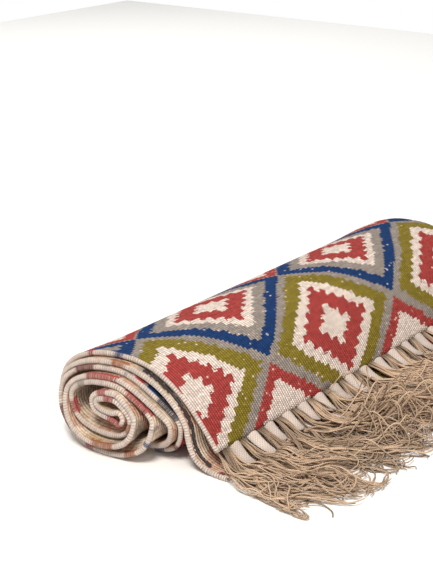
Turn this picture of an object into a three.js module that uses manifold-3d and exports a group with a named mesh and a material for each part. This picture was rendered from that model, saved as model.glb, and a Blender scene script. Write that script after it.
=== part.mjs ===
// A flat-woven cotton rug, folded in half across its middle and rolled up loosely from that fold, two layers
// together. Both fringed ends come out on the front of the roll: one lies on the floor, the other falls over it.
// Millimetres, +Z up, X along the roll, the fringed ends towards -Y. The floor is Z = 0.

import * as THREE from 'three';
import { mergeVertices } from 'three/addons/utils/BufferGeometryUtils.js';
import Module from 'manifold-3d';

// The cloth
const rugWidth = 487;
const clothThickness = 3.8;
const lengthSteps = 176;

// Columns of the sheet across its width, as parts of the width, close together at the near selvedge
const widthSteps = [0, 0.012, 0.024, 0.036, 0.05, 0.14, 0.4, 0.64, 0.8, 0.9, 1];

// Each row is one turn of one layer, from the top of the roll round by the back. It gives the height of the layer's
// middle over and under the roll, and its y at the back and at the front, where the next turn begins.
const topLayer = [
  { over: 80, back: 108.5, under: 0.8, front: -21.6 },
  { over: 70.4, back: 99.3, under: 11.2, front: -3.4 },
  { over: 60.4, back: 83.2, under: 21.4, front: 17.2 },
  { over: 50, back: 52.3, under: 38.4, front: 20 },
];
const floorLayer = [
  { over: 75.2, back: 103.9, under: 6.5, front: -16 },
  { over: 65.5, back: 88.8, under: 16.6, front: 11.7 },
  { over: 55.2, back: 57.4, under: 33.6, front: 20 },
];

// The front extreme that each layer would turn at before its first turn, if it didn't run out into its free end
const frontBeforeFirstTurn = -27;

// How much fuller or leaner than an ellipse each quarter of the roll is
const fullness = { below: 0.16, backAbove: 0.02, frontAbove: { topLayer: -0.255, floorLayer: -0.305 } };

// The fold at the middle of the roll, a round bulb where the two layers part
const bulb = { y: 28.2, z: 36, radius: 4.9 };

// The free end that falls over the front, near its corner and along the rest, as y, z and its slope there
const fallingEnd = {
  corner: { y: -53, z: 19, run: 21, rise: 30 },
  along: { y: -48.5, z: 15, run: 17.5, rise: 31.5 },
  cornerLength: 45,
};

// The free end that lies on the floor
const floorEnd = { y: -68, steepY: -28, steepZ: 34 };

// The inner turns stand out at the near end by this much. The first underside is pushed back in, the next one out
const creep = { atFold: 26, perMillimetre: 26 / 880, pushedBack: 12, overTurns: 0.36, pushedOut: 11 };

// Undersides of inner turns that stand out past this x sag, by a share of how far they lie below a height
const sag = { from: -251, length: 15, share: 0.38, below: 34, middle: 34, halfWidth: 57 };

// The roll is uneven: it sinks away from its near end, and swells a little towards its far end
const swell = { height: 0.035, centre: 212, halfLength: 28 };
const sink = { height: 0.033, from: -244, length: 80 };

// The fringe: bundles of warp along each end, each split into locks that leave a narrow strip at the cloth's end
const bundles = 19;
const strip = { gap: 0.3, depth: 4, thickness: 3 };
const lock = { radius: 1.85, tipRadius: 1.1, sides: 3, rootReach: 1 };

// Locks of the two ends lie side by side: each row is one lock of a bundle, with its place across the bundle, where
// its tip lies, and how far the tips vary
const fallingLocks = [
  { lane: 0, tip: -152, spread: 24 },
  { lane: 12.82, tip: -150, spread: 28 },
];
const floorLocks = [
  { lane: -6.41, tip: -148, spread: 20 },
  { lane: 6.41, tip: -150, spread: 22 },
];
const lockStations = [-77, -98, -119, -138];
const dropHeight = 6.6;

// The fringe leans away from the near end and then sweeps back along the roll, as y, the width of that bend and x
const lean = { from: -52, over: 46, by: -14 };
const sweep = { from: -92, over: 82, by: 44, nearCorner: 0.45, cornerLength: 70 };

const ease = (a, b, t) => a + (b - a) * t;
const smooth = (t) => {
  const c = THREE.MathUtils.clamp(t, 0, 1);
  return c * c * (3 - 2 * c);
};

// A repeatable number from 0 to 1 for each pair of whole numbers
const chance = (i, j) => {
  const s = Math.sin(i * 127.1 + j * 311.7) * 43758.5453;
  return s - Math.floor(s);
};

// Swings from one extreme to the next, with c the cosine of the angle since the first
function swing(first, next, c, full) {
  const shaped = c * (1 + full * (1 - c * c));
  return (first + next) / 2 + ((first - next) / 2) * shaped;
}

// The middle line of one layer: angle 0 is the top of its first turn, 90 degrees the back, 270 the front
function woundPoint(turns, angle) {
  const heights = turns.flatMap((turn) => [turn.over, turn.under]);
  const sides = [frontBeforeFirstTurn, ...turns.flatMap((turn) => [turn.back, turn.front])];
  const halfTurns = angle / 180;
  const k = Math.min(Math.floor(halfTurns), heights.length - 2);
  const m = Math.min(Math.floor(halfTurns + 0.5), sides.length - 2);
  const vertical = Math.cos((halfTurns - k) * Math.PI);
  const sideways = Math.cos((halfTurns + 0.5 - m) * Math.PI);
  const lower = k % 2 === 0 ? vertical < 0 : vertical > 0;
  const front = m % 2 === 0 ? sideways > 0 : sideways < 0;
  const lean = turns === topLayer ? fullness.frontAbove.topLayer : fullness.frontAbove.floorLayer;
  const above = front ? lean : fullness.backAbove;
  const full = lower ? fullness.below : above;
  const z = swing(heights[k], heights[k + 1], vertical, full);
  const y = swing(sides[m], sides[m + 1], sideways, full);
  return { y, z, turn: angle / 360 };
}

// Points of one layer from its free end's start to the fold, as far as the last underside
function woundLayer(turns) {
  const last = turns.length * 360 - 180;
  const points = [];
  for (let angle = 0; angle <= last; angle += 6) points.push(woundPoint(turns, angle));
  return points;
}

// A cubic curve through plain points, without its last point
function bezier(corners, turn, steps) {
  const curve = new THREE.CubicBezierCurve(...corners.map(([y, z]) => new THREE.Vector2(y, z)));
  return curve.getPoints(steps).slice(0, steps).map((p) => ({ y: p.x, z: p.y, turn }));
}

// The cloth's section at a place u across the width, from the falling end to the end on the floor
function section(u) {
  const nearCorner = Math.exp(-(u + rugWidth / 2) / fallingEnd.cornerLength);
  const { corner, along } = fallingEnd;
  const end = {
    y: ease(along.y, corner.y, nearCorner),
    z: ease(along.z, corner.z, nearCorner),
    run: ease(along.run, corner.run, nearCorner),
    rise: ease(along.rise, corner.rise, nearCorner),
  };
  const top = woundPoint(topLayer, 0);
  const falling = bezier(
    [[end.y, end.z], [end.y + end.run, end.z + end.rise], [top.y - 44.5, top.z + 2.6], [top.y, top.z]],
    0,
    22,
  );
  const second = woundPoint(floorLayer, 0);
  const { steepY, steepZ } = floorEnd;
  const rest = clothThickness / 2;
  const steep = bezier(
    [[steepY, steepZ], [steepY + 4.2, steepZ + 14.5], [second.y - 38, second.z - 1], [second.y, second.z]],
    0,
    16,
  );
  const onFloor = bezier(
    [[floorEnd.y, rest], [steepY - 6, rest], [steepY - 2.5, steepZ - 20], [steepY, steepZ]],
    0,
    16,
  );
  const fold = [];
  for (let angle = -40; angle <= 220; angle += 20) {
    const a = THREE.MathUtils.degToRad(angle);
    fold.push({
      y: bulb.y - bulb.radius * Math.sin(a),
      z: bulb.z + bulb.radius * Math.cos(a),
      turn: topLayer.length,
    });
  }
  const inwards = [...falling, ...woundLayer(topLayer)];
  const outwards = [...onFloor, ...steep, ...woundLayer(floorLayer)].reverse();
  return [...inwards, ...fold, ...outwards];
}

// Lengths along a section, and how far along it each point lies from the fold
function measured(points) {
  const run = [0];
  for (let i = 1; i < points.length; i += 1) {
    run.push(run[i - 1] + Math.hypot(points[i].y - points[i - 1].y, points[i].z - points[i - 1].z));
  }
  return run;
}

// Stations along the middle section, closer together where it bends more
const middle = section(0);
const middleRun = measured(middle);
const clothLength = middleRun[middleRun.length - 1];
const foldAt = middleRun[middle.findIndex((p) => p.turn === topLayer.length) + 6];

function stations() {
  const weight = [0];
  for (let i = 1; i < middle.length; i += 1) {
    const before = middle[i - 1];
    const here = middle[i];
    const after = middle[Math.min(i + 1, middle.length - 1)];
    const inDirection = Math.atan2(here.z - before.z, here.y - before.y);
    const outDirection = Math.atan2(after.z - here.z, after.y - here.y);
    const turned = Math.abs(Math.atan2(Math.sin(outDirection - inDirection), Math.cos(outDirection - inDirection)));
    weight.push(weight[i - 1] + (middleRun[i] - middleRun[i - 1]) + 22 * turned);
  }
  const total = weight[weight.length - 1];
  const places = [];
  let i = 0;
  for (let step = 0; step <= lengthSteps; step += 1) {
    const goal = (total * step) / lengthSteps;
    while (i < weight.length - 2 && weight[i + 1] < goal) i += 1;
    const share = (goal - weight[i]) / (weight[i + 1] - weight[i]);
    places.push(ease(middleRun[i], middleRun[i + 1], share) / clothLength);
  }
  return places;
}

// How far the near edge of a layer stands out towards -X
function standsOut(point, fromFold) {
  const underFirstTurn = smooth(1 - Math.abs(point.turn - 0.5) / creep.overTurns);
  const underSecondTurn = smooth(1 - Math.abs(point.turn - 1.5) / creep.overTurns);
  const pushed = creep.pushedOut * underSecondTurn - creep.pushedBack * underFirstTurn;
  return creep.atFold - creep.perMillimetre * fromFold + pushed;
}

// How far the underside of an inner turn sags where it stands out at the near end
function sagged(point, x) {
  const edge = smooth((sag.from - x) / sag.length);
  const across = Math.max(0, 1 - ((point.y - sag.middle) / sag.halfWidth) ** 4);
  return edge * across * smooth((point.turn - 1.1) / 0.2) * sag.share * Math.max(0, sag.below - point.z);
}

function unevenness(u) {
  const swollen = swell.height * Math.exp(-(((u - swell.centre) / swell.halfLength) ** 2));
  return 1 + swollen - sink.height * smooth((u - sink.from) / sink.length);
}

// The place of the middle of the cloth at width u and a part s of its length, with the direction out of its face
function onCloth(u) {
  const rest = clothThickness / 2;
  const shaped = section(u).map((point, i) => {
    const x = u - standsOut(point, Math.abs(middleRun[i] - foldAt));
    const height = rest + (point.z - rest) * unevenness(u) - sagged(point, x);
    return { ...point, z: Math.max(rest, height) };
  });
  const run = measured(shaped);
  const total = run[run.length - 1];
  return (s) => {
    const goal = s * total;
    let i = 0;
    while (i < run.length - 2 && run[i + 1] < goal) i += 1;
    const share = (goal - run[i]) / (run[i + 1] - run[i]);
    const a = shaped[i];
    const b = shaped[i + 1];
    const fromFold = Math.abs(s * clothLength - foldAt);
    return {
      x: u - standsOut({ turn: ease(a.turn, b.turn, share) }, fromFold),
      y: ease(a.y, b.y, share),
      z: ease(a.z, b.z, share),
    };
  };
}

// One sheet, bent from a flat box: its x is the width, its y the thickness and its z the length
function clothGeometry() {
  const columns = widthSteps.length - 1;
  const box = new THREE.BoxGeometry(columns, clothThickness, lengthSteps, columns, 1, lengthSteps);
  const places = stations();
  const grid = widthSteps.map((part) => {
    const at = onCloth((part - 0.5) * rugWidth);
    return places.map(at);
  });
  const position = box.attributes.position;
  for (let i = 0; i < position.count; i += 1) {
    const column = Math.round(position.getX(i) + columns / 2);
    const row = Math.round(position.getZ(i) + lengthSteps / 2);
    const line = grid[column];
    const here = line[row];
    const before = line[Math.max(row - 1, 0)];
    const after = line[Math.min(row + 1, lengthSteps)];
    const slope = Math.atan2(after.z - before.z, after.y - before.y);
    const out = position.getY(i);
    position.setXYZ(i, here.x, here.y + out * Math.sin(slope), here.z - out * Math.cos(slope));
  }
  return box;
}

// The cloth's end at width u: its place, and the direction out of the cloth along it
function clothEnd(u, s, inward) {
  const at = onCloth(u);
  const end = at(s);
  const inside = at(inward);
  const away = new THREE.Vector3(0, end.y - inside.y, end.z - inside.z).normalize();
  return { place: new THREE.Vector3(end.x, end.y, end.z), away };
}

// The strip that the locks are rooted in, bent from a flat box along the cloth's end
function stripGeometry(endAt) {
  const columns = widthSteps.length - 1;
  const box = new THREE.BoxGeometry(columns, strip.thickness, strip.depth, columns, 1, 1);
  const ends = widthSteps.map((part) => endAt((part - 0.5) * rugWidth));
  const position = box.attributes.position;
  for (let i = 0; i < position.count; i += 1) {
    const { place, away } = ends[Math.round(position.getX(i) + columns / 2)];
    const out = strip.gap + strip.depth / 2 - position.getZ(i);
    const up = position.getY(i);
    position.setXYZ(i, place.x, place.y + out * away.y - up * away.z, place.z + out * away.z + up * away.y);
  }
  return box;
}

// How far a lock is carried along the roll where it has come to y
function carried(y, u) {
  const corner = Math.exp(-(u + rugWidth / 2) / sweep.cornerLength);
  const share = ease(1, sweep.nearCorner, corner);
  const leaning = lean.by * smooth((lean.from - y) / lean.over);
  return leaning + share * sweep.by * smooth((sweep.from - y) / sweep.over);
}

// One lock: out of the strip, down over what lies below, and along its lane to its tip
function lockGeometry(endAt, u, row, bundle) {
  const inset = rugWidth / 2 - lock.radius;
  const { place, away } = endAt(THREE.MathUtils.clamp(u + row.lane, -inset, inset));
  const start = place.clone().addScaledVector(away, strip.gap + strip.depth * 0.4);
  const tip = row.tip - row.spread * chance(bundle, row.tip);
  const atRest = lock.radius * Math.cos(Math.PI / lock.sides);
  const points = [start, place.clone().addScaledVector(away, strip.gap + strip.depth + lock.rootReach)];
  [...lockStations, tip].forEach((y, k) => {
    const z = k === 0 && start.z > dropHeight ? dropHeight : atRest;
    points.push(new THREE.Vector3(u + row.lane + carried(y, u), y, z));
  });
  const last = points.length - 1;
  const tube = new THREE.CylinderGeometry(1, 1, last, lock.sides, last);
  const position = tube.attributes.position;
  for (let i = 0; i < position.count; i += 1) {
    const k = Math.round(last / 2 - position.getY(i));
    const ahead = points[Math.min(k + 1, last)].clone().sub(points[Math.max(k - 1, 0)]).normalize();
    const side = new THREE.Vector3(0, 0, 1).cross(ahead).normalize();
    const up = ahead.clone().cross(side);
    const radius = ease(lock.radius, lock.tipRadius, k / last);
    const settled = points[k].clone();
    settled.z -= k > 2 ? atRest * (1 - radius / lock.radius) : 0;
    settled.addScaledVector(side, position.getX(i) * radius).addScaledVector(up, position.getZ(i) * radius);
    position.setXYZ(i, settled.x, settled.y, settled.z);
  }
  return tube;
}

const wasm = await Module();
wasm.setup();

function solid(geometry) {
  const bare = geometry.clone();
  bare.deleteAttribute('normal');
  bare.deleteAttribute('uv');
  const merged = mergeVertices(bare, 1e-4);
  return new wasm.Manifold(new wasm.Mesh({
    numProp: 3,
    vertProperties: Float32Array.from(merged.attributes.position.array),
    triVerts: Uint32Array.from(merged.index.array),
  }));
}

function geometryOf(body) {
  const mesh = body.getMesh();
  const geometry = new THREE.BufferGeometry();
  geometry.setAttribute('position', new THREE.BufferAttribute(Float32Array.from(mesh.vertProperties), 3));
  geometry.setIndex(Array.from(mesh.triVerts));
  geometry.computeVertexNormals();
  return geometry;
}

// A whole fringe: the strip with every lock joined to it
function fringeGeometry(rows, s, inward) {
  const endAt = (u) => clothEnd(u, s, inward);
  const bodies = [solid(stripGeometry(endAt))];
  const pitch = rugWidth / bundles;
  for (let bundle = 0; bundle < bundles; bundle += 1) {
    const u = (bundle + 0.5) * pitch - rugWidth / 2;
    for (const row of rows) bodies.push(solid(lockGeometry(endAt, u, row, bundle)));
  }
  return geometryOf(wasm.Manifold.union(bodies));
}

const cotton = new THREE.MeshStandardMaterial({ color: 0xd9cabb, roughness: 0.95, metalness: 0 });
const cloth = new THREE.Mesh(clothGeometry(), cotton);
cloth.name = 'woven_cloth';

const warpCotton = new THREE.MeshStandardMaterial({ color: 0xc9af94, roughness: 0.9, metalness: 0 });
const places = stations();
const fallingFringe = new THREE.Mesh(fringeGeometry(fallingLocks, 0, places[1]), warpCotton);
fallingFringe.name = 'falling_fringe';
const floorFringe = new THREE.Mesh(fringeGeometry(floorLocks, 1, places[lengthSteps - 1]), warpCotton);
floorFringe.name = 'floor_fringe';

// The rug stands on Z = 0 with its origin under the middle of its outer box
const rug = new THREE.Group();
rug.add(cloth, fallingFringe, floorFringe);
const outerBox = new THREE.Box3().setFromObject(rug);
const centre = outerBox.getCenter(new THREE.Vector3());
rug.position.set(-centre.x, -centre.y, 0);

export default rug;
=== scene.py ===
import math
from functools import partial
import bpy
import numpy as np
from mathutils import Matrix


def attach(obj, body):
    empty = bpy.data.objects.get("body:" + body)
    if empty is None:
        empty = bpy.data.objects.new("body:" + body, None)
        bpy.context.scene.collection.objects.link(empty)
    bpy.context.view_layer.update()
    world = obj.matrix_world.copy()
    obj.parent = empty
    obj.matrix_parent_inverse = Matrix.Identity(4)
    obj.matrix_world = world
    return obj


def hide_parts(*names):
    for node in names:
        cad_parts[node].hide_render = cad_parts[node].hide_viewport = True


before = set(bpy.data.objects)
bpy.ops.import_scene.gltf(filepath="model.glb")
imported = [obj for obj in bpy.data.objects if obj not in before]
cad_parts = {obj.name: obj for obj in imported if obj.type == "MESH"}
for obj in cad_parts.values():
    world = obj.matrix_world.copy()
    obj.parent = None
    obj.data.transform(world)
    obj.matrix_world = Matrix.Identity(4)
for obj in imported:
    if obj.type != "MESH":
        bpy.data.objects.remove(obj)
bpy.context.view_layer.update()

mm = 0.001
print("stage: frame loaded")


# Rises from 0 to 1 along 3t^2 - 2t^3, and is level outside 0 to 1.
def smooth(t):
    c = np.clip(t, 0, 1)
    return c * c * (3 - 2 * c)


# A straight blend from a to b.
def ease(a, b, t):
    return a + (b - a) * t


# An sRGB hex value turned to linear: c / 12.92 below 0.04045, else ((c + 0.055) / 1.055) ^ 2.4.
def linearColour(hexCode, alpha=1.0):
    value = np.array([int(hexCode[k:k + 2], 16) / 255 for k in (1, 3, 5)])
    linear = np.where(value <= 0.04045, value / 12.92, ((value + 0.055) / 1.055) ** 2.4)
    return (*linear.tolist(), alpha)


# A mesh object in metres from points (n, 3) and lists of corners; uvs maps a name to one (n, 2) array,
# and values maps a name to one (n,) or (n, 4) array, all given for each point.
def makeObject(name, points, faces, material, uvs=None, values=None, smoothShade=True):
    mesh = bpy.data.meshes.new(name)
    mesh.from_pydata(points.tolist(), [], faces)
    corners = np.empty(len(mesh.loops), dtype=np.int32)
    mesh.loops.foreach_get("vertex_index", corners)
    for key, uv in (uvs or {}).items():
        mesh.uv_layers.new(name=key).data.foreach_set("uv", uv[corners].astype(np.float32).ravel())
    for key, value in (values or {}).items():
        kind, field = ("FLOAT_COLOR", "color") if value.ndim == 2 else ("FLOAT", "value")
        mesh.attributes.new(key, kind, "POINT").data.foreach_set(field, value.astype(np.float32).ravel())
    if smoothShade:
        mesh.polygons.foreach_set("use_smooth", np.ones(len(mesh.polygons), dtype=bool))
    mesh.update()
    mesh.materials.append(material)
    piece = bpy.data.objects.new(name, mesh)
    bpy.context.scene.collection.objects.link(piece)
    return piece


# Quads between neighbouring points of a (rows, columns) grid; closeColumns joins its last and first columns.
def gridFaces(rows, columns, closeColumns=False):
    index = np.arange(rows * columns).reshape(rows, columns)
    if closeColumns:
        index = np.concatenate([index, index[:, :1]], axis=1)
    a, b, c, d = index[:-1, :-1], index[:-1, 1:], index[1:, 1:], index[1:, :-1]
    return np.stack([a, b, c, d], axis=-1).reshape(-1, 4)


# A material with nodes on, and none in it yet.
def newMaterial(name):
    material = bpy.data.materials.new(name)
    material.use_nodes = True
    material.node_tree.nodes.clear()
    return material


# One node: settings are its properties, inputs go to its live sockets in order, and sockets names others.
# Each is a value, an output to link, or a node whose first live output is linked.
def addNode(tree, kind, *inputs, sockets=None, **settings):
    node = tree.nodes.new("ShaderNode" + kind)
    for key, value in settings.items():
        setattr(node, key, value)
    given = list(zip([socket for socket in node.inputs if socket.enabled], inputs))
    given += [(node.inputs[key], value) for key, value in (sockets or {}).items()]
    for socket, value in given:
        if isinstance(value, bpy.types.Node):
            value = next(output for output in value.outputs if output.enabled)
        if isinstance(value, bpy.types.NodeSocket):
            tree.links.new(value, socket)
        else:
            socket.default_value = value
    return node


cloth = {
    "width": 487 * mm,
    "thickness": 3.8 * mm,
    "selvedgeThickness": 4.8 * mm,
    "rows": 560,          # stations along the length
    "columns": 62,        # stations across one face
    "edgeSteps": 5,       # steps round each selvedge
    "turnStep": 3,        # degrees between the points of a turn
}
halfWidth = cloth["width"] / mm / 2

# Middle lines of the two layers, in mm: the highest, furthest back, lowest and furthest forward of each turn
topLayer = [
    {"over": 80, "back": 108.5, "under": 0.8, "front": -21.6},
    {"over": 70.4, "back": 99.3, "under": 11.2, "front": -3.4},
    {"over": 60.4, "back": 83.2, "under": 21.4, "front": 17.2},
    {"over": 50, "back": 52.3, "under": 38.4, "front": 20},
]
floorLayer = [
    {"over": 75.2, "back": 103.9, "under": 6.5, "front": -16},
    {"over": 65.5, "back": 88.8, "under": 16.6, "front": 11.7},
    {"over": 55.2, "back": 57.4, "under": 33.6, "front": 20},
]
wound = {
    "frontBeforeFirstTurn": -27,
    "fullBelow": 0.16,
    "fullBackAbove": 0.02,
    "fullFrontTop": -0.255,
    "fullFrontFloor": -0.305,
    "bulbY": 28.2,
    "bulbZ": 36,
    "bulbRadius": 4.9,
}
fallingEnd = {
    "corner": {"y": -53, "z": 19, "run": 21, "rise": 30},
    "along": {"y": -48.5, "z": 15, "run": 17.5, "rise": 31.5},
    "cornerLength": 45,
}
floorEnd = {"y": -68, "steepY": -28, "steepZ": 34}
creep = {"atFold": 26, "perMillimetre": 26 / 880, "pushedBack": 12, "overTurns": 0.36, "pushedOut": 11}
sag = {"from": -251, "length": 15, "share": 0.38, "below": 34, "middle": 34, "halfWidth": 57}
swell = {"height": 0.035, "centre": 212, "halfLength": 28}
sink = {"height": 0.033, "from": -244, "length": 80}
groupShift = {"x": 3.749, "y": 33.498}    # the solids' shift onto their common origin


# From first to following as the cosine goes from 1 to -1, made fuller or leaner by c (1 + f (1 - c^2)).
def swing(first, following, cosine, full):
    shaped = cosine * (1 + full * (1 - cosine * cosine))
    return (first + following) / 2 + ((first - following) / 2) * shaped


# Middle line of one layer: y and z swing between the extremes of each turn as the angle grows.
def woundLine(turns, lean):
    angle = np.arange(0, len(turns) * 360 - 180 + 0.1, cloth["turnStep"])
    heights = np.array([turn[key] for turn in turns for key in ("over", "under")], dtype=float)
    extremes = [turn[key] for turn in turns for key in ("back", "front")]
    sides = np.array([wound["frontBeforeFirstTurn"]] + extremes, dtype=float)
    half = angle / 180
    k = np.minimum(np.floor(half).astype(int), len(heights) - 2)
    m = np.minimum(np.floor(half + 0.5).astype(int), len(sides) - 2)
    vertical = np.cos((half - k) * np.pi)
    sideways = np.cos((half + 0.5 - m) * np.pi)
    lower = np.where(k % 2 == 0, vertical < 0, vertical > 0)
    front = np.where(m % 2 == 0, sideways > 0, sideways < 0)
    full = np.where(lower, wound["fullBelow"], np.where(front, lean, wound["fullBackAbove"]))
    z = swing(heights[k], heights[k + 1], vertical, full)
    y = swing(sides[m], sides[m + 1], sideways, full)
    return np.stack([y, z, angle / 360], axis=-1)


# A cubic curve through (…, 4, 2) corners, without its last point.
def bezier(corners, steps):
    t = (np.arange(steps) / steps)[:, None]
    weights = np.concatenate([(1 - t) ** 3, 3 * t * (1 - t) ** 2, 3 * t * t * (1 - t), t ** 3], axis=1)
    return np.einsum("sc,...cd->...sd", weights, corners)


# Sections of the cloth at the widths u (mm), from the falling end to the end on the floor: y, z and turn.
def sections(u):
    near = np.exp(-(u + halfWidth) / fallingEnd["cornerLength"])
    along, corner = fallingEnd["along"], fallingEnd["corner"]
    end = {key: ease(along[key], corner[key], near) for key in along}
    top = woundLine(topLayer, wound["fullFrontTop"])
    floor = woundLine(floorLayer, wound["fullFrontFloor"])
    one = np.ones_like(u)
    fallCorners = np.stack([
        np.stack([end["y"], end["z"]], -1),
        np.stack([end["y"] + end["run"], end["z"] + end["rise"]], -1),
        np.stack([one * (top[0, 0] - 44.5), one * (top[0, 1] + 2.6)], -1),
        np.stack([one * top[0, 0], one * top[0, 1]], -1),
    ], axis=-2)
    falling = bezier(fallCorners, 40)
    falling = np.concatenate([falling, np.zeros(falling.shape[:-1] + (1,))], axis=-1)
    rest = cloth["thickness"] / mm / 2
    steepY, steepZ = floorEnd["steepY"], floorEnd["steepZ"]
    second = floor[0]
    onFloor = bezier(np.array([[floorEnd["y"], rest], [steepY - 6, rest], [steepY - 2.5, steepZ - 20],
                               [steepY, steepZ]], dtype=float), 28)
    steep = bezier(np.array([[steepY, steepZ], [steepY + 4.2, steepZ + 14.5], [second[0] - 38, second[1] - 1],
                             [second[0], second[1]]], dtype=float), 28)
    outwards = np.concatenate([onFloor, steep])
    outwards = np.concatenate([outwards, np.zeros((len(outwards), 1))], axis=1)
    outwards = np.concatenate([outwards, floor])[::-1]
    a = np.radians(np.arange(-40, 221, 10))
    bulbY = wound["bulbY"] - wound["bulbRadius"] * np.sin(a)
    bulbZ = wound["bulbZ"] + wound["bulbRadius"] * np.cos(a)
    fold = np.stack([bulbY, bulbZ, np.full(len(a), len(topLayer))], axis=-1)
    shared = np.concatenate([top, fold, outwards])
    line = np.concatenate([falling, np.broadcast_to(shared, (len(u),) + shared.shape)], axis=1)
    foldIndex = falling.shape[1] + len(top) + len(fold) // 2
    return line, foldIndex


# Height along the roll: one, plus a bell at the swelling, less a smooth step where it sinks.
def unevenness(u):
    swollen = swell["height"] * np.exp(-(((u - swell["centre"]) / swell["halfLength"]) ** 2))
    return 1 + swollen - sink["height"] * smooth((u - sink["from"]) / sink["length"])


# Length along each section, up to each of its points.
def lengths(line):
    step = np.hypot(np.diff(line[..., 0], axis=-1), np.diff(line[..., 1], axis=-1))
    return np.concatenate([np.zeros(step.shape[:-1] + (1,)), np.cumsum(step, axis=-1)], axis=-1)


middleLine, foldIndex = sections(np.array([0.0]))
middleRun = lengths(middleLine)[0]
clothLength = float(middleRun[-1])          # mm, the cloth cut flat
foldAt = float(middleRun[foldIndex])        # mm from the falling end
print("stage: cloth length", round(clothLength, 1), "mm, fold at", round(foldAt, 1), "mm")


# How far the near edge of a layer stands out towards -X: more with each turn inwards.
def standsOut(turn, fromFold):
    first = smooth(1 - np.abs(turn - 0.5) / creep["overTurns"])
    second = smooth(1 - np.abs(turn - 1.5) / creep["overTurns"])
    pushed = creep["pushedOut"] * second - creep["pushedBack"] * first
    return creep["atFold"] - creep["perMillimetre"] * fromFold + pushed


# Sections with the swelling along the roll and the sag of the inner turns where they stand out.
def shapedSections(u):
    line, _ = sections(u)
    rest = cloth["thickness"] / mm / 2
    y, z, turn = line[..., 0], line[..., 1], line[..., 2]
    x = u[:, None] - standsOut(turn, np.abs(middleRun - foldAt))
    edge = smooth((sag["from"] - x) / sag["length"])
    across = np.maximum(0, 1 - ((y - sag["middle"]) / sag["halfWidth"]) ** 4)
    sagged = edge * across * smooth((turn - 1.1) / 0.2) * sag["share"] * np.maximum(0, sag["below"] - z)
    shaped = np.maximum(rest, rest + (z - rest) * unevenness(u)[:, None] - sagged)
    return np.stack([y, shaped, turn], axis=-1)


# Stations along the length, closer where the section bends: each point weighs its step plus 14 mm a radian.
def stationShares(count):
    d = np.diff(middleLine[0, :, :2], axis=0)
    heading = np.unwrap(np.arctan2(d[:, 1], d[:, 0]))
    turned = np.concatenate([[0], np.abs(np.diff(heading)), [0]])
    weight = np.concatenate([[0], np.cumsum(np.hypot(d[:, 0], d[:, 1]) + 14 * turned[1:])])
    return np.interp(np.linspace(0, weight[-1], count), weight, middleRun) / clothLength


# Middle points of the cloth (u, shares, 3) in mm, and the direction out of its face, at widths u.
def clothPoints(u, shares):
    line = shapedSections(u)
    run = lengths(line)
    points = np.empty((len(u), len(shares), 3))
    for i in range(len(u)):
        goal = shares * run[i, -1]
        for axis in range(3):
            points[i, :, axis] = np.interp(goal, run[i], line[i, :, axis])
    out = standsOut(points[..., 2], np.abs(shares * clothLength - foldAt))
    tangent = np.gradient(points[..., :2], axis=1)
    tangent /= np.linalg.norm(tangent, axis=-1, keepdims=True)
    normal = np.stack([np.zeros_like(out), -tangent[..., 1], tangent[..., 0]], axis=-1)
    place = np.stack([u[:, None] - out, points[..., 0], points[..., 1]], axis=-1)
    return place, normal, points[..., 2]


# Dhurrie colours as the eye takes them from the rug, with two painted ones: brown for painted shade inside
# the roll, shade for painted shadow in the gaps between layers
dyesAndShades = {
    "cream": "#e6d5c9",
    "red": "#a9433f",
    "navy": "#1b3b6c",
    "olive": "#86762c",
    "gray": "#9a8f86",
    "darkRed": "#702a26",
    "rust": "#a2603a",
    # painted shade on the inner turns of the roll
    "brown": "#dcc3a6",
    # painted shadow in the gaps between the layers
    "shade": "#1d2233",
    "yarn": "#c4a98f",
}
# The pattern: diamonds on a lattice, counted in half diagonals from the middle of the rug
lattice = {
    "across": 105.8,      # mm, half a diamond across the rug
    "rowsToEnd": 10.7,    # half diamonds from the middle of the rug to each end
    "skew": 0.225,        # the last row before the ends lies a little askew
    "aside": 0.03,
    "late": 9.522,
    "crowded": 0.853,
}


# Lattice coordinates: i counts half diamonds across, 1 at the rug's middle line, and k along from its middle.
def latticeAt(u, share):
    i = u / lattice["across"] + 1
    k = np.abs(share - 0.5) * 2 * lattice["rowsToEnd"]
    late = k - 9.5
    bent = smooth((k - 8) / 1.5)
    i = i + bent * (lattice["aside"] + lattice["skew"] * late)
    k = ease(k, lattice["late"] + lattice["crowded"] * late, bent)
    return i, k


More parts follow.
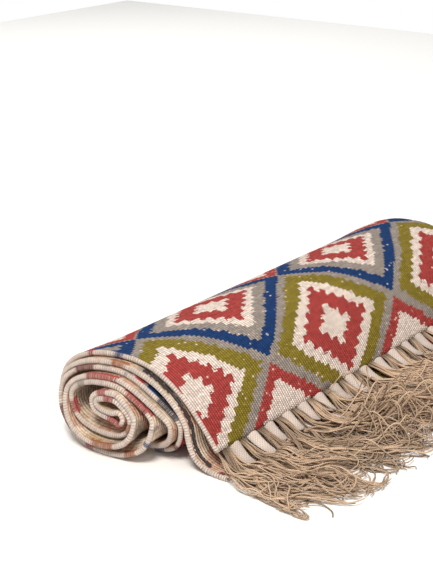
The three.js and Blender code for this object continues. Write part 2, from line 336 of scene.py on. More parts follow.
# Yarn that shows on the near selvedge and just inside it, and two spots of painted shadow where gaps open
# between the layers: from and to, in mm from the cloth's falling end
edgeYarnAndShadow = [
    {"from": 110, "to": 130, "colour": "navy"},
    {"from": 142, "to": 158, "colour": "red"},
    {"from": 312, "to": 334, "colour": "navy"},
    {"from": 336, "to": 352, "colour": "darkRed"},
    # painted shadow in the gap between two layers
    {"from": 368, "to": 402, "colour": "shade"},
    {"from": 424, "to": 438, "colour": "gray"},
    {"from": 446, "to": 457, "colour": "gray"},
    {"from": 458, "to": 490, "colour": "darkRed"},
    {"from": 518, "to": 552, "colour": "darkRed"},
    {"from": 560, "to": 580, "colour": "red"},
    {"from": 582, "to": 592, "colour": "gray"},
    {"from": 603, "to": 625, "colour": "rust"},
    {"from": 627, "to": 640, "colour": "navy"},
    {"from": 641, "to": 653, "colour": "gray"},
    {"from": 655, "to": 690, "colour": "red"},
    {"from": 722, "to": 742, "colour": "gray"},
    {"from": 750, "to": 772, "colour": "red"},
    {"from": 822, "to": 842, "colour": "rust"},
    {"from": 856, "to": 876, "colour": "red"},
    {"from": 915, "to": 942, "colour": "red"},
    {"from": 965, "to": 985, "colour": "red"},
    {"from": 1029, "to": 1040, "colour": "red"},
    {"from": 1042, "to": 1075, "colour": "rust"},
    {"from": 1150, "to": 1192, "colour": "red"},
    {"from": 1424, "to": 1434, "colour": "red"},
    {"from": 1436, "to": 1444, "colour": "gray"},
    {"from": 1464, "to": 1488, "colour": "rust"},
    # painted shadow in the gap between the two layers near the floor end
    {"from": 1492, "to": 1600, "colour": "shade", "inset": 6.5, "reach": 4.5},
    {"from": 1604, "to": 1616, "colour": "darkRed"},
]
edgeSpotReach = 9      # mm to either side of a spot's middle, unless it has a reach of its own
edgeSpotFade = 6       # mm along the cloth, at each end of a spot
paintedShadeReach = 60        # mm in from the selvedge: the inner turns' painted shade, a plain brown


# The yarn and the painted shadow on the near selvedge as colour and strength, for each width and share of the
# length
def edgeTints(u, shares):
    length = shares * clothLength
    tint = np.zeros((len(u), len(shares), 4))
    for spot in edgeYarnAndShadow:
        away = np.abs(u + halfWidth - spot.get("inset", 1))
        depth = smooth(1 - away / spot.get("reach", edgeSpotReach))
        held = smooth((length - spot["from"]) / edgeSpotFade) * smooth((spot["to"] - length) / edgeSpotFade)
        strength = (depth[:, None] * held[None, :])[..., None]
        colour = np.array(linearColour(dyesAndShades[spot["colour"]]))
        tint = ease(tint, colour, np.where(strength > tint[..., 3:], strength, 0))
        tint[..., :3] = np.where(strength > 0, colour[:3], tint[..., :3])
    return tint


# The cloth: its middle points moved along its normal by half its thickness, with the section closed by a half
# round at each selvedge
def makeCloth(material):
    thick = cloth["thickness"] / mm / 2
    edgeThick = cloth["selvedgeThickness"] / mm / 2
    shares = stationShares(cloth["rows"])
    flat = halfWidth - edgeThick
    # the selvedge is a little fuller in places: three waves along the rug added up
    length = shares * clothLength
    fuller = 1 + 0.05 * (np.sin(length / 9.1) + np.sin(length / 5.3 + 1) + np.sin(length / 23 + 2))
    # columns lie closer together at the near selvedge
    t = np.linspace(0, 1, cloth["columns"]) ** 1.35
    across = -flat + 2 * flat * t
    # the section runs over the top, round one edge, back below and round the other
    a = np.linspace(0, np.pi, cloth["edgeSteps"] + 2)[1:-1]
    u = np.concatenate([across, flat + edgeThick * np.sin(a), across[::-1], -flat - edgeThick * np.sin(a)])
    level = np.concatenate([np.ones(len(across)), np.cos(a), -np.ones(len(across)), -np.cos(a)])
    rim = np.concatenate([np.zeros(len(across)), np.ones(len(a)), np.zeros(len(across)), np.ones(len(a))])
    nearEdge = np.clip(1 - (halfWidth - np.abs(u) - edgeThick) / 6, 0, 1)
    thickness = ease(thick, edgeThick, smooth(nearEdge))
    place, normal, turn = clothPoints(u, shares)
    rounded = ease(1, fuller[None, :], smooth(nearEdge)[:, None])
    points = place + normal * ((level * thickness)[:, None] * rounded)[..., None]
    points += [groupShift["x"], groupShift["y"], 0]
    points[..., 2] = np.maximum(points[..., 2], 0.0)
    columns, rows = len(u), len(shares)
    i, k = np.broadcast_arrays(*latticeAt(u[:, None], shares[None, :]))
    weave = np.stack(np.broadcast_arrays(u[:, None] * mm, shares[None, :] * clothLength * mm), axis=-1)

    # an array over widths and lengths, given point by point in the order of the grid's rows
    def listed(value):
        return np.swapaxes(value, 0, 1).reshape((rows * columns,) + value.shape[2:])

    faces = gridFaces(rows, columns, closeColumns=True).tolist()
    outline = np.arange(columns)
    faces += [outline[::-1].tolist(), (outline + (rows - 1) * columns).tolist()]
    # painted shade: all but the outer face of the outermost turn is painted brown near the selvedge, for the
    # shade inside the roll
    outermost = smooth((0.97 - turn) / 0.04) * (shares * clothLength < foldAt)[None, :] * (level > 0)[:, None]
    inside = (1 - outermost) * smooth(1 - (u + halfWidth)[:, None] / paintedShadeReach)
    return makeObject("wovenCloth", listed(points) * mm, faces, material,
                      {"weave": listed(weave), "lattice": listed(np.stack([i, k], axis=-1))},
                      {"rim": listed(np.broadcast_to(rim[:, None], turn.shape)), "inside": listed(inside),
                       "edgeTint": listed(edgeTints(u, shares))})


# Band edges as shares of half a diamond, from its middle: the ring, then the field, then the bands
bands = {
    "step": 0.09,          # one stair of the ring
    "ringOuter": 5.5,      # stairs
    "ringInner": 2.5,
    "oliveInner": 0.66, "oliveOuter": 0.88,
    "grayInner": 0.63, "navyInner": 0.805,
    "redInner": 0.79, "redOuter": 0.965,
    "cellAcross": 0.034,   # three warps in two cells, 3.6 mm
    "cellAlong": 0.036,    # two wefts
    "ragged": 0.045,       # how far an edge strays from cell to cell
    "drift": 0.05,         # how far it drifts aside over a diamond
    "meeting": 0.03,       # flecks reach this far from where two bands meet
    "end": 0.985,
}
# Drawn a little coarser than the real 2.7 mm ribs, to show in the render
weaveSizes = {"warp": 3.0 * mm, "weft": 1.9 * mm, "stitch": 2.3 * mm}


# Flat-woven cotton: matte dyed wefts beaten down over hidden warps, so the eye sees fine ribs along the rug,
# small beads across them, a stair at every slanted edge and flecks of other yarn
def makeWovenCotton():
    material = newMaterial("dhurrieCotton")
    add = partial(addNode, material.node_tree)

    # 1 between low and high, else 0
    def between(value, low, high):
        above = add("Math", value, low, operation="GREATER_THAN")
        below = add("Math", value, high, operation="LESS_THAN")
        return add("Math", above, below, operation="MULTIPLY")

    # |value - goal|
    def distance(value, goal):
        return add("Math", add("Math", value, goal, operation="SUBTRACT"), operation="ABSOLUTE")

    # |sin(value)|
    def ridges(value):
        return add("Math", add("Math", value, operation="SINE"), operation="ABSOLUTE")

    weave = add("UVMap", uv_map="weave")
    place = add("SeparateXYZ", weave)
    across, along = place.outputs[0], place.outputs[1]
    pattern = add("UVMap", uv_map="lattice")
    counts = add("SeparateXYZ", pattern)
    countI, countK = counts.outputs[0], counts.outputs[1]

    # the pattern is woven in cells, and each edge strays a little from cell to cell
    cellI = add("Math", add("Math", countI, bands["cellAcross"], operation="DIVIDE"), operation="FLOOR")
    cellK = add("Math", add("Math", countK, bands["cellAlong"], operation="DIVIDE"), operation="FLOOR")
    chance = add("TexWhiteNoise", add("CombineXYZ", cellI, cellK), noise_dimensions="2D")
    stray = add("Math", add("Math", chance, 0.5, operation="SUBTRACT"), bands["ragged"], operation="MULTIPLY")
    i = add("Math", add("Math", cellI, 0.5, operation="ADD"), bands["cellAcross"], operation="MULTIPLY")
    k = add("Math", add("Math", cellK, 0.5, operation="ADD"), bands["cellAlong"], operation="MULTIPLY")
    drift = add("TexNoise", pattern, 3.0, 1.0, noise_dimensions="2D")
    drift = add("Math", add("Math", drift, 0.5, operation="SUBTRACT"), bands["drift"], operation="MULTIPLY")
    i = add("Math", i, drift, operation="ADD")

    # twice the half, rounded down, plus 1: the odd number nearest below or above
    def nearestOdd(value):
        pairs = add("Math", add("Math", value, 0.5, operation="MULTIPLY"), operation="FLOOR")
        return add("Math", pairs, 2.0, 1.0, operation="MULTIPLY_ADD")

    # diamonds: reach is the larger distance of the counts' sum and difference from an odd number
    total, apart = add("Math", i, k, operation="ADD"), add("Math", i, k, operation="SUBTRACT")
    oddTotal, oddApart = nearestOdd(total), nearestOdd(apart)
    middleK = add("Math", add("Math", oddTotal, oddApart, operation="SUBTRACT"), 0.5, operation="MULTIPLY")
    middleI = add("Math", add("Math", oddTotal, oddApart, operation="ADD"), 0.5, operation="MULTIPLY")
    reach = add("Math", distance(total, oddTotal), distance(apart, oddApart), operation="MAXIMUM")
    reach = add("Math", reach, stray, operation="ADD")
    row = add("Math", add("Math", middleK, 0.01, operation="ADD"), 3.0, operation="FLOORED_MODULO")
    isNavy = add("Math", row, 0.5, operation="LESS_THAN")
    isOlive = between(row, 0.5, 1.5)
    isRed = add("Math", row, 1.5, operation="GREATER_THAN")

    # the stepped ring, counted in stairs from the diamond's middle, with edges that stray too
    loose = add("Math", stray, 0.7, operation="MULTIPLY")

    # the distance of the strayed count from the middle, divided by a stair and rounded
    def stairs(count, middle, moved):
        away = distance(add("Math", count, loose, operation=moved), middle)
        return add("Math", add("Math", away, bands["step"], operation="DIVIDE"), operation="ROUND")

    climbed = add("Math", stairs(countI, middleI, "ADD"), stairs(countK, middleK, "SUBTRACT"),
                  operation="ADD")
    ring = between(climbed, bands["ringInner"], bands["ringOuter"])
    ring = add("Math", ring, add("Math", 1.0, isRed, operation="SUBTRACT"), operation="MULTIPLY")

    # the linear colour of a listed dye or painted shade
    def listedColour(name):
        return linearColour(dyesAndShades[name])

    colour = add("Mix", ring, listedColour("cream"), listedColour("red"), data_type="RGBA")
    for isRow, inner, name in (
            (isOlive, "oliveInner", "olive"), (isOlive, "oliveOuter", "gray"),
            (isNavy, "grayInner", "gray"), (isNavy, "navyInner", "navy"),
            (isRed, "redInner", "red"), (isRed, "redOuter", "gray")):
        past = add("Math", reach, bands[inner], operation="GREATER_THAN")
        shown = add("Math", isRow, past, operation="MULTIPLY")
        colour = add("Mix", shown, colour, listedColour(name), data_type="RGBA")

    # each weft shows as a bead on each rib, set off by half a bead from rib to rib
    ribNumber = add("Math", add("Math", across, weaveSizes["warp"], operation="DIVIDE"), operation="FLOOR")
    weft = add("Math", along, weaveSizes["weft"], operation="DIVIDE")
    weft = add("Math", ribNumber, 0.5, weft, operation="MULTIPLY_ADD")
    bead = add("CombineXYZ", ribNumber, add("Math", weft, operation="FLOOR"))
    beadChance = add("TexWhiteNoise", bead, noise_dimensions="2D")

    # cream flecks, more of them where two colours meet
    nearNavy = add("Math", distance(reach, bands["navyInner"]), bands["meeting"], operation="LESS_THAN")
    nearOlive = add("Math", distance(reach, bands["oliveOuter"]), bands["meeting"], operation="LESS_THAN")
    nearEnd = add("Math", reach, bands["end"], operation="GREATER_THAN")
    meeting = add("Math", add("Math", nearNavy, nearOlive, operation="ADD"), nearEnd, operation="ADD")
    meeting = add("Math", meeting, 1.0, operation="MINIMUM")
    rarest = add("Math", meeting, -0.022, 0.9993, operation="MULTIPLY_ADD")
    fleck = add("Math", beadChance, rarest, operation="GREATER_THAN")
    fleck = add("Math", fleck, 0.5, operation="MULTIPLY")
    colour = add("Mix", fleck, colour, listedColour("cream"), data_type="RGBA")

    # the dye is uneven in streaks of 25 mm across by 2.4 mm along
    streakX = add("Math", across, 40.0, operation="MULTIPLY")
    streakY = add("Math", along, 420.0, operation="MULTIPLY")
    streak = add("TexNoise", add("CombineXYZ", streakX, streakY), 1.0, 2.0, noise_dimensions="2D")

    # ribs over the warps and beads along them, shallower inside the roll; their grooves are painted darker as
    # shade, besides the bump
    inside = add("Attribute", attribute_name="inside").outputs["Fac"]
    rib = ridges(add("Math", across, math.pi / weaveSizes["warp"], operation="MULTIPLY"))
    beadRise = ridges(add("Math", weft, math.pi, operation="MULTIPLY"))
    beadRise = add("Math", beadRise, 0.5, 0.5, operation="MULTIPLY_ADD")
    relief = add("Math", rib, beadRise, operation="MULTIPLY")
    yarn = add("TexNoise", weave, 260.0, 3.0)
    depth = add("Math", inside, -0.42, 0.66, operation="MULTIPLY_ADD")
    lowest = add("Math", depth, -0.72, 0.97, operation="MULTIPLY_ADD")
    toneAndShade = add("Math", relief, depth, lowest, operation="MULTIPLY_ADD")
    for noise, gain, base in ((yarn, 0.5, 0.75), (streak, 0.44, 0.78), (beadChance, 0.34, 0.84)):
        factor = add("Math", noise, gain, base, operation="MULTIPLY_ADD")
        toneAndShade = add("Math", toneAndShade, factor, operation="MULTIPLY")

    # inside the roll the near end is painted brown as shade, with single rust wefts, under coloured yarn and
    # painted shadow near the selvedge
    rusty = add("Math", add("Math", beadChance, 0.93, operation="GREATER_THAN"), 0.6, operation="MULTIPLY")
    paintedShadeColour = add("Mix", rusty, listedColour("brown"), listedColour("rust"), data_type="RGBA")
    inside = add("Math", inside, 0.72, operation="MULTIPLY")
    colour = add("Mix", inside, colour, paintedShadeColour, data_type="RGBA")
    tint = add("Attribute", attribute_name="edgeTint")
    tintColour, tintStrength = tint.outputs["Color"], tint.outputs["Alpha"]
    strewn = add("Math", beadChance, 0.5, tintStrength, operation="MULTIPLY_ADD")
    strewn = add("Math", add("Math", strewn, 0.65, operation="GREATER_THAN"), 0.9, operation="MULTIPLY")
    colour = add("Mix", strewn, colour, tintColour, data_type="RGBA")
    colour = add("VectorMath", colour, toneAndShade, operation="SCALE")

    # the selvedge is wrapped in cream, in uneven stitches painted darker between them as shade, with the same
    # coloured yarn and painted shadow here and there
    rim = add("Attribute", attribute_name="rim").outputs["Fac"]
    wrap = add("TexNoise", streakY, 5.0, 2.0, noise_dimensions="1D")
    turned = add("Math", along, math.pi / weaveSizes["stitch"], add("Math", wrap, 3.0, operation="MULTIPLY"),
                 operation="MULTIPLY_ADD")
    stitch = ridges(turned)
    showing = add("Math", wrap, 0.8, tintStrength, operation="MULTIPLY_ADD")
    showing = add("Math", add("Math", showing, 1.3, operation="GREATER_THAN"), 0.85, operation="MULTIPLY")
    edge = add("Mix", showing, listedColour("cream"), tintColour, data_type="RGBA")
    stitchShade = add("Math", stitch, 0.34, 0.68, operation="MULTIPLY_ADD")
    wrapTone = add("Math", wrap, 0.5, 0.75, operation="MULTIPLY_ADD")
    edge = add("VectorMath", edge, add("Math", stitchShade, wrapTone, operation="MULTIPLY"), operation="SCALE")
    colour = add("Mix", rim, colour, edge, data_type="RGBA")

    height = add("Math", yarn, 0.35, add("Mix", rim, relief, stitch), operation="MULTIPLY_ADD")
    bump = add("Bump", sockets={"Strength": 1.0, "Distance": 0.9 * mm, "Height": height})
    shader = add("BsdfPrincipled", sockets={"Base Color": colour, "Normal": bump, "Roughness": 0.95,
                                            "Specular IOR Level": 0.1})
    add("OutputMaterial", shader)
    return material


clothPiece = makeCloth(makeWovenCotton())
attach(clothPiece, "root")
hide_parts("woven_cloth")
print("stage: cloth,", len(clothPiece.data.polygons), "faces")


# Undyed cotton yarn in two plies: light ridges that wind round it, with grooves painted darker as shade and a
# little fuzz
def makeYarnCotton():
    material = newMaterial("twistedCottonYarn")
    add = partial(addNode, material.node_tree)
    wrap = add("UVMap", uv_map="yarn")
    place = add("SeparateXYZ", wrap)
    # two plies a turn, and one turn in 3.2 mm of length
    turned = add("Math", place.outputs[1], 1 / (3.2 * mm), place.outputs[0], operation="MULTIPLY_ADD")
    turned = add("Math", turned, 2 * math.pi, operation="MULTIPLY")
    ply = add("Math", add("Math", turned, operation="SINE"), operation="ABSOLUTE")
    fuzz = add("TexNoise", wrap, 900.0, 2.0)
    # the tone attribute carries each yarn's own tone and its painted shade and light
    toneAndShade = add("Attribute", attribute_name="toneAndShade").outputs["Fac"]
    for value, gain, base in ((ply, 0.4, 0.68), (fuzz, 0.3, 0.85)):
        factor = add("Math", value, gain, base, operation="MULTIPLY_ADD")
        toneAndShade = add("Math", toneAndShade, factor, operation="MULTIPLY")
    caught = add("Attribute", attribute_name="caught").outputs["Fac"]
    colour = add("Mix", caught, linearColour(dyesAndShades["yarn"]), linearColour(dyesAndShades["red"]), data_type="RGBA")
    colour = add("VectorMath", colour, toneAndShade, operation="SCALE")
    bump = add("Bump", sockets={"Strength": 0.7, "Distance": 0.4 * mm, "Height": ply})
    shader = add("BsdfPrincipled", sockets={"Base Color": colour, "Normal": bump, "Roughness": 0.9,
                                            "Specular IOR Level": 0.15})
    add("OutputMaterial", shader)
    return material


tab = {
    "halfWidth": 8,         # mm
    "length": 30,
    "halfHeight": 1.6,
    "tipHalfHeight": 0.7,
    "tipHalfWidth": 5.5,    # of the yarns that leave its tip
    "bead": 1.5,            # of its plain weave
    "steps": 14,
    "sides": 16,
}


# Plain-woven cream cotton: small square beads, each raised where one yarn crosses over the other, with
# painted shade between them
def makePlainCotton():
    material = newMaterial("plainWovenCotton")
    add = partial(addNode, material.node_tree)
    weave = add("UVMap", uv_map="yarn")
    place = add("SeparateXYZ", weave)
    side, along = place.outputs[0], place.outputs[1]
    perBead = math.pi / (tab["bead"] * mm)
    over = add("Math", add("Math", side, perBead, operation="MULTIPLY"), operation="SINE")
    under = add("Math", add("Math", along, perBead, operation="MULTIPLY"), operation="SINE")
    crossing = add("Math", over, under, operation="MULTIPLY")
    relief = add("Math", crossing, 0.5, 0.5, operation="MULTIPLY_ADD")
    fuzz = add("TexNoise", weave, 840.0, 3.0)
    # painted shade: darker towards the sides, with the third power of the way out
    outwards = add("Math", add("Math", side, operation="ABSOLUTE"), 1 / (tab["halfWidth"] * mm),
                   operation="MULTIPLY")
    outwards = add("Math", outwards, 3.0, operation="POWER")
    toneAndShade = add("Attribute", attribute_name="toneAndShade").outputs["Fac"]
    for value, gain, base in ((relief, 0.34, 0.7), (fuzz, 0.4, 0.8), (outwards, -0.55, 1.0)):
        factor = add("Math", value, gain, base, operation="MULTIPLY_ADD")
        toneAndShade = add("Math", toneAndShade, factor, operation="MULTIPLY")
    colour = add("VectorMath", linearColour(dyesAndShades["cream"])[:3], toneAndShade, operation="SCALE")
    bump = add("Bump", sockets={"Strength": 0.8, "Distance": 0.5 * mm, "Height": relief})
    shader = add("BsdfPrincipled", sockets={"Base Color": colour, "Normal": bump, "Roughness": 0.95,
                                            "Specular IOR Level": 0.1})
    add("OutputMaterial", shader)
    return material


fringe = {
    "bundles": 19,          # bundles of warp along each end
    "locks": 3,             # locks in a bundle
    "yarnsEach": 21,        # yarns in a bundle
    "yarnsEachTab": 7,      # yarns from a tab's tip
    "steps": 36,            # steps along a yarn
    "sides": 4,
    "radius": 0.66,         # mm
    "length": 132,          # mm
    "lengthSpread": 12,
    "rootHalfWidth": 4.6,   # mm, a bundle where it leaves the cloth
    "leanDegrees": -5,      # heading from -Y towards +X, at first and then further out
    "sweepDegrees": 62,
    "sweepFrom": -300,      # mm, the sweep grows from here
    "sweepOver": 250,
    "springyAt": -105,      # mm, where many yarns stand up in loops
    "springyReach": 36,
    "loops": {"share": 0.12, "springyShare": 0.42, "springyGain": 1.4,
              "lowest": 5, "highest": 15, "full": 13},
    "farthest": {"front": 180, "near": 264, "far": 286, "soft": 20},    # mm from the middle line of the roll
}
# How far yarns turn from their heading, in radians, each at its root and towards its tip or all along
sway = {
    "bundleSweep": 0.28,
    "bundleLean": 0.16,
    "bundle": 0.25,
    "lock": 0.2, "lockTip": 0.75,
    "own": 0.05, "ownTip": 0.2,
    "fan": 0.3,
    "lockCurl": 3.4, "ownCurl": 0.8,
}


# Tubes along paths (n, steps, 3) in mm, level side to side: each ring is the path's point, plus side times
# cosine times halfWidth, plus up times sine times halfHeight. The UV is round, and along in metres.
def sweptTubes(paths, halfWidth, halfHeight, sides, roundMetres=False):
    count, steps, _ = paths.shape
    ahead = np.gradient(paths, axis=1)
    ahead /= np.linalg.norm(ahead, axis=-1, keepdims=True) + 1e-9
    side = np.stack([-ahead[..., 1], ahead[..., 0], np.zeros((count, steps))], axis=-1)
    side /= np.linalg.norm(side, axis=-1, keepdims=True) + 1e-9
    up = np.cross(ahead, side)
    a = np.linspace(0, 2 * np.pi, sides, endpoint=False)
    wide = (side * halfWidth[..., None])[:, :, None, :] * np.cos(a)[None, None, :, None]
    high = (up * halfHeight[..., None])[:, :, None, :] * np.sin(a)[None, None, :, None]
    points = (paths[:, :, None, :] + wide + high).reshape(-1, 3)
    stepLength = np.linalg.norm(np.diff(paths, axis=1), axis=-1)
    run = np.concatenate([np.zeros((count, 1)), np.cumsum(stepLength, axis=1)], axis=1) * mm
    turned = np.broadcast_to(a / (2 * np.pi), (count, steps, sides))
    if roundMetres:
        turned = np.cos(a)[None, None, :] * halfWidth[..., None] * mm
    uv = np.stack([turned, np.broadcast_to(run[..., None], turned.shape)], axis=-1).reshape(-1, 2)
    one = gridFaces(steps, sides, closeColumns=True)
    faces = (one[None] + (np.arange(count) * steps * sides)[:, None, None]).reshape(-1, 4).tolist()
    ring = np.arange(sides)
    first = np.arange(count)[:, None] * steps * sides + ring[::-1]
    last = np.arange(count)[:, None] * steps * sides + (steps - 1) * sides + ring
    return points, faces + first.tolist() + last.tolist(), uv


# Where yarns leave the cloth's end at widths u: a point just inside it, and the direction out of it.
def endOfCloth(u, share, inside):
    place, _, _ = clothPoints(u, np.array([share, inside]) if share < inside else np.array([inside, share]))
    end, before = (place[:, 0], place[:, 1]) if share < inside else (place[:, 1], place[:, 0])
    away = end - before
    away[:, 0] = 0
    away /= np.linalg.norm(away, axis=-1, keepdims=True)
    return end, away


# Paths (n, steps, 3) that leave the cloth at roots along away: x and y are running sums of steps along the
# sine and minus cosine of heading (n, steps), and z is a smooth blend from the root's height to bed
# (n, steps) over the share drop of their length.
def layDown(roots, away, heading, bed, length, drop):
    steps = heading.shape[1]
    t = np.linspace(0, 1, steps)
    stepLength = (length / (steps - 1))[:, None]
    flat = ease(np.abs(away[:, 1:2]), 1.0, smooth(t / drop)[None, :])
    dx = np.sin(heading) * stepLength * flat
    dy = -np.cos(heading) * stepLength * flat
    x = roots[:, :1] + np.concatenate([np.zeros((len(roots), 1)), np.cumsum(dx[:, 1:], axis=1)], axis=1)
    y = roots[:, 1:2] + np.concatenate([np.zeros((len(roots), 1)), np.cumsum(dy[:, 1:], axis=1)], axis=1)
    z = ease(roots[:, 2:], bed, smooth(t / drop)[None, :] ** 0.7)
    return np.stack([x, y, z], axis=-1)


# Draws values past limit - soft in towards limit: limit - soft + soft tanh((value - limit + soft) / soft).
def softLimit(value, limit, soft):
    past = np.maximum(value - limit + soft, 0) / soft
    return np.where(past > 0, limit - soft + soft * np.tanh(past), value)


# The two free ends: where each lies along the cloth, and how high its yarns heap
freeEnds = [
    {"name": "falling", "share": 0.0, "inside": 0.004, "drop": 0.2, "heap": 13.0, "clear": 5.4, "seed": 11},
    {"name": "floor", "share": 1.0, "inside": 0.996, "drop": 0.1, "heap": 6.0, "clear": 0.9, "seed": 23},
]


# The yarns of one end: headings are sums of sines that grow towards the tips, some shared by a bundle or a
# lock, and heights are the lock's level in the heap plus a sine and, on some yarns, a bell-shaped loop
def makeYarns(end, random, material):
    pitch = 2 * halfWidth / fringe["bundles"]
    t = np.linspace(0, 1, fringe["steps"])

    # yarns of the bundles, then yarns of the tabs' tips
    bundle = np.repeat(np.arange(fringe["bundles"]), fringe["yarnsEach"])
    tip = np.repeat(np.arange(fringe["bundles"] + 1), fringe["yarnsEachTab"])
    group = np.concatenate([bundle, tip + fringe["bundles"]])
    fromTab = np.concatenate([np.zeros(len(bundle)), (tip > 0) & (tip < fringe["bundles"])])
    middle = np.concatenate([(bundle + 0.5) * pitch, tip * pitch]) - halfWidth
    count = len(group)
    place = random.uniform(-1, 1, count)
    lock = group * fringe["locks"] + np.floor((place + 1) / 2 * fringe["locks"] * 0.999).astype(int)
    u = middle + place * ease(fringe["rootHalfWidth"], tab["tipHalfWidth"], fromTab)
    inset = halfWidth - 1
    roots, away = endOfCloth(np.clip(u, -inset, inset), end["share"], end["inside"])
    roots[:, 2] -= random.uniform(0.4, 2.4, count) * (1 - fromTab)
    # a tab's yarns begin half way along it, on its face
    roots += away * (tab["length"] * 0.5 * fromTab)[:, None]
    roots[:, 2] += 1.5 * fromTab
    roots[:, 2] = np.maximum(roots[:, 2], end["clear"])

    # one number for each yarn, or for each bundle or lock and given to each of its yarns
    def drawn(low, high, groups=np.arange(count)):
        return random.uniform(low, high, groups.max() + 1)[groups][:, None]

    # a sine along each yarn: its own rate times t, plus the phase, in turns
    def waves(slow, fast, phase):
        return np.sin(2 * np.pi * (drawn(slow, fast) * t + phase))

    # the sweep towards +X grows along the roll, and is less near its far end
    grown = smooth((middle - fringe["sweepFrom"]) / fringe["sweepOver"])
    sweep = fringe["sweepDegrees"] * grown * (1 - 0.7 * np.exp(-(halfWidth - middle) / 70))
    sweep = np.radians(sweep)[:, None] + drawn(-sway["bundleSweep"], sway["bundleSweep"], group)
    nearest = np.exp(-(middle + halfWidth) / 20)[:, None]
    lean = np.radians(fringe["leanDegrees"]) * (1 + 3 * nearest)
    lean = lean + drawn(-sway["bundleLean"], sway["bundleLean"], group)
    heading = ease(lean, sweep, smooth((t - 0.1) / 0.5)[None, :])
    heading = heading + sway["bundle"] * np.sin(2 * np.pi * (1.1 * t + drawn(0, 1, group))) * (0.2 + t)
    lockSway = sway["lock"] + sway["lockTip"] * t ** 1.5
    heading += lockSway * np.sin(2 * np.pi * (drawn(1.0, 2.4, lock) * t + drawn(0, 1, lock)))
    ownSway = (sway["own"] + sway["ownTip"] * t ** 2) * random.gamma(2.0, 0.5, count)[:, None]
    heading += ownSway * (waves(1.4, 2.8, drawn(0, 1)) + 0.5 * waves(3, 6, drawn(0, 1)))
    heading += place[:, None] * sway["fan"] * smooth((t - 0.06) / 0.2) * (1 - 0.8 * t)
    curl = drawn(-1, 1, lock) * sway["lockCurl"] + drawn(-1, 1) * sway["ownCurl"]
    heading += curl * smooth((t - 0.55) / 0.45)

    # locks are heaped on each other, and some yarns stand up in loops towards the tips
    loops = fringe["loops"]
    level = drawn(0, 1, lock) ** 1.4 * 0.85 + drawn(0, 0.15)
    rise = smooth(t / 0.4) * (1 - 0.5 * smooth((t - 0.75) / 0.25))
    wave = drawn(0.3, 2.2) * waves(1.5, 3.5, drawn(0, 1))
    springy = np.exp(-((middle - fringe["springyAt"]) / fringe["springyReach"]) ** 2)[:, None]
    looped = drawn(0, 1) < loops["share"] + loops["springyShare"] * springy
    loop = looped * drawn(loops["lowest"], loops["highest"]) * (1 + loops["springyGain"] * springy)
    loop = loop * np.exp(-((t - drawn(0.6, 0.88)) / 0.13) ** 2)
    bed = 1.0 + level * end["heap"] * rise + wave * smooth(t / 0.3) + loop * end["heap"] / loops["full"]
    length = fringe["length"] + random.normal(0, fringe["lengthSpread"], count)
    length = (length - fromTab * tab["length"] * 0.5) * (1 - 0.24 * np.exp(-(middle + halfWidth) / 50))
    paths = layDown(roots, away, heading, bed, length, end["drop"])
    # bundles come up from under the cloth's end
    paths[..., 2] += 7 * np.exp(-((t - 0.12) / 0.1) ** 2) * (1 - fromTab[:, None])
    farthest = fringe["farthest"]
    paths[..., 1] = -softLimit(-paths[..., 1], farthest["front"], farthest["soft"])
    paths[..., 0] = softLimit(paths[..., 0], farthest["far"], farthest["soft"])
    paths[..., 0] = -softLimit(-paths[..., 0], farthest["near"], farthest["soft"])
    # above the end on the floor yarns stay clear of it, and past it they may touch the floor
    clear = ease(end["clear"], fringe["radius"], smooth((floorEnd["y"] - paths[..., 1]) / 6))
    paths[..., 2] = np.maximum(paths[..., 2], clear)
    paths += [groupShift["x"], groupShift["y"], 0]
    radius = fringe["radius"] * ease(1.0, 0.7, smooth((t - 0.93) / 0.07)) * drawn(0.8, 1.15)
    points, faces, uv = sweptTubes(paths, radius, radius, fringe["sides"])

    # painted shade and light: yarns are darker low in the heap and where they leave the cloth, and lighter on
    # loops that stand up, and a few hold a short piece of red
    lit = smooth(level * 1.5 + 0.25 * (1 - t) ** 3 + loop / 40)
    toneAndShade = drawn(0.72, 1.14) * ease(0.56, 1.1, lit) * ease(0.3, 1, smooth(t / 0.14 + fromTab[:, None]))
    caught = (drawn(0, 1) < 0.012) * (np.abs(t - drawn(0.25, 0.7)) < 0.05)
    return makeObject(end["name"] + "Fringe", points * mm, faces, material, {"yarn": uv},
                      {"toneAndShade": np.repeat(toneAndShade.ravel(), fringe["sides"]),
                       "caught": np.repeat(caught.ravel(), fringe["sides"])})


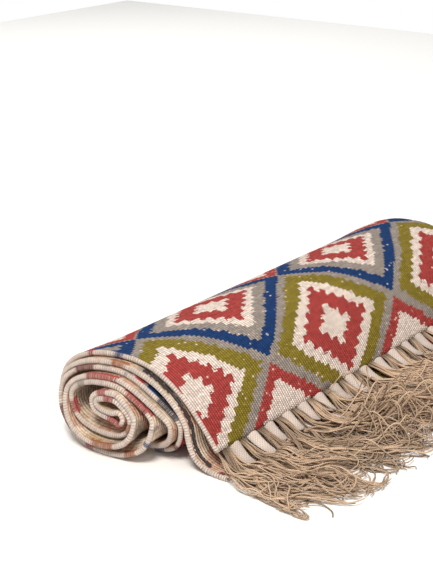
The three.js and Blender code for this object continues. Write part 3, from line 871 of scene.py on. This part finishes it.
# The tabs of one end, tongues of plain weave between the bundles: an ellipse carried along each, drawn in to
# a round tip by the root of one less a smooth step
def makeTabs(end, random, material):
    count = fringe["bundles"] - 1
    s = np.linspace(0, 1, tab["steps"])
    middle = np.arange(1, count + 1) * (2 * halfWidth / fringe["bundles"]) - halfWidth
    roots, away = endOfCloth(middle, end["share"], end["inside"])
    roots -= away * 0.8
    heading = np.radians(fringe["leanDegrees"]) * s + random.normal(0, 0.12, count)[:, None] * s
    bed = end["clear"] + 0.6 + random.uniform(0, 1.8, count)[:, None] * np.ones(tab["steps"])
    length = tab["length"] * random.uniform(0.85, 1.15, count)
    paths = layDown(roots, away, heading, bed, length, 0.95)
    paths[..., 2] = np.maximum(paths[..., 2], end["clear"] - 1.3)
    paths += [groupShift["x"], groupShift["y"], 0]
    rounding = np.sqrt(1 - 0.85 * smooth((s - 0.86) / 0.14))
    narrowing = ease(1, 0.66, smooth((s - 0.1) / 0.9)) * rounding
    wide = tab["halfWidth"] * random.uniform(0.8, 1, count)[:, None] * narrowing
    high = ease(tab["halfHeight"], tab["tipHalfHeight"], smooth(s)) * np.ones((count, 1))
    points, faces, uv = sweptTubes(paths, wide, high, tab["sides"], roundMetres=True)
    # painted shade: each tab darker towards its tip
    toneAndShade = random.uniform(0.8, 0.95, count)[:, None] * ease(1, 0.7, smooth((s - 0.5) / 0.5))
    return makeObject(end["name"] + "Tabs", points * mm, faces, material, {"yarn": uv},
                      {"toneAndShade": np.repeat(toneAndShade.ravel(), tab["sides"])})


# The two pieces of one end, from one row of random draws: first the yarns', then the tabs'
def makeFringe(end, yarnMaterial, plainMaterial):
    random = np.random.default_rng(end["seed"])
    pieces = [makeYarns(end, random, yarnMaterial), makeTabs(end, random, plainMaterial)]
    for piece in pieces:
        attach(piece, "root")
        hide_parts(end["name"] + "_fringe")
    print("stage:", end["name"], "fringe,", [len(piece.data.polygons) for piece in pieces], "faces")
    return pieces


yarnMaterial, plainMaterial = makeYarnCotton(), makePlainCotton()
fringePieces = [piece for end in freeEnds for piece in makeFringe(end, yarnMaterial, plainMaterial)]

view = {
    "place": (-1047.21 * mm, -625.19 * mm, 516.51 * mm),
    "down": 19.509,      # degrees below level
    "aside": 53.18,      # degrees from +Y towards +X
    "focal": 1400,       # px at the image's height of 577
    "imageHeight": 577,
    "sensor": 36,
}
cameraData = bpy.data.cameras.new("camera")
camera = bpy.data.objects.new("camera", cameraData)
bpy.context.scene.collection.objects.link(camera)
camera.location = view["place"]
camera.rotation_euler = (math.radians(90 - view["down"]), 0, -math.radians(view["aside"]))
cameraData.sensor_width = view["sensor"]
cameraData.lens = view["focal"] * view["sensor"] / view["imageHeight"]
cameraData.clip_start = 0.01
bpy.context.scene.camera = camera
bpy.context.scene.view_settings.view_transform = "Standard"

# Soft round lamps, each turned to the middle of the roll: metres and watts
lamps = [
    {"name": "keyLight", "place": (-1.3, -0.5, 2.1), "size": 0.8, "power": 53, "colour": "#fffaf4"},
    {"name": "fillLight", "place": (-0.6, -2.0, 1.3), "size": 1.6, "power": 8, "colour": "#fff6ec"},
    {"name": "backLight", "place": (1.2, 1.4, 1.6), "size": 1.8, "power": 20, "colour": "#ffffff"},
]
lampTarget = np.array([0, 0, 0.05])
for lamp in lamps:
    light = bpy.data.lights.new(lamp["name"], "AREA")
    light.shape, light.size, light.energy = "DISK", lamp["size"], lamp["power"]
    light.color = linearColour(lamp["colour"])[:3]
    holder = bpy.data.objects.new(lamp["name"], light)
    bpy.context.scene.collection.objects.link(holder)
    holder.location = lamp["place"]
    x, y, z = lampTarget - lamp["place"]
    holder.rotation_euler = (math.atan2(math.hypot(x, y), -z), 0, math.atan2(-x, y))

# The sky lights with a strength of 0.5, and is white where the camera sees it past the floor
world = bpy.data.worlds.new("studio")
bpy.context.scene.world = world
world.use_nodes = True
background = world.node_tree.nodes["Background"]
background.inputs["Color"].default_value = linearColour("#ffffff")
skyRay = addNode(world.node_tree, "LightPath").outputs["Is Camera Ray"]
strength = addNode(world.node_tree, "Math", skyRay, 0.5, 0.5, operation="MULTIPLY_ADD")
world.node_tree.links.new(strength.outputs[0], background.inputs["Strength"])

floorMaterial = newMaterial("palePaper")
paper = addNode(floorMaterial.node_tree, "BsdfPrincipled",
                sockets={"Base Color": linearColour("#f4f3f1"), "Roughness": 0.9})
addNode(floorMaterial.node_tree, "OutputMaterial", paper)
floorHalf = 1.8        # metres
floorPoints = floorHalf * np.array([[-1, -1, 0], [1, -1, 0], [1, 1, 0], [-1, 1, 0]])
floorPiece = makeObject("floor", floorPoints, [[0, 1, 2, 3]], floorMaterial, smoothShade=False)

print("stage: sizes")
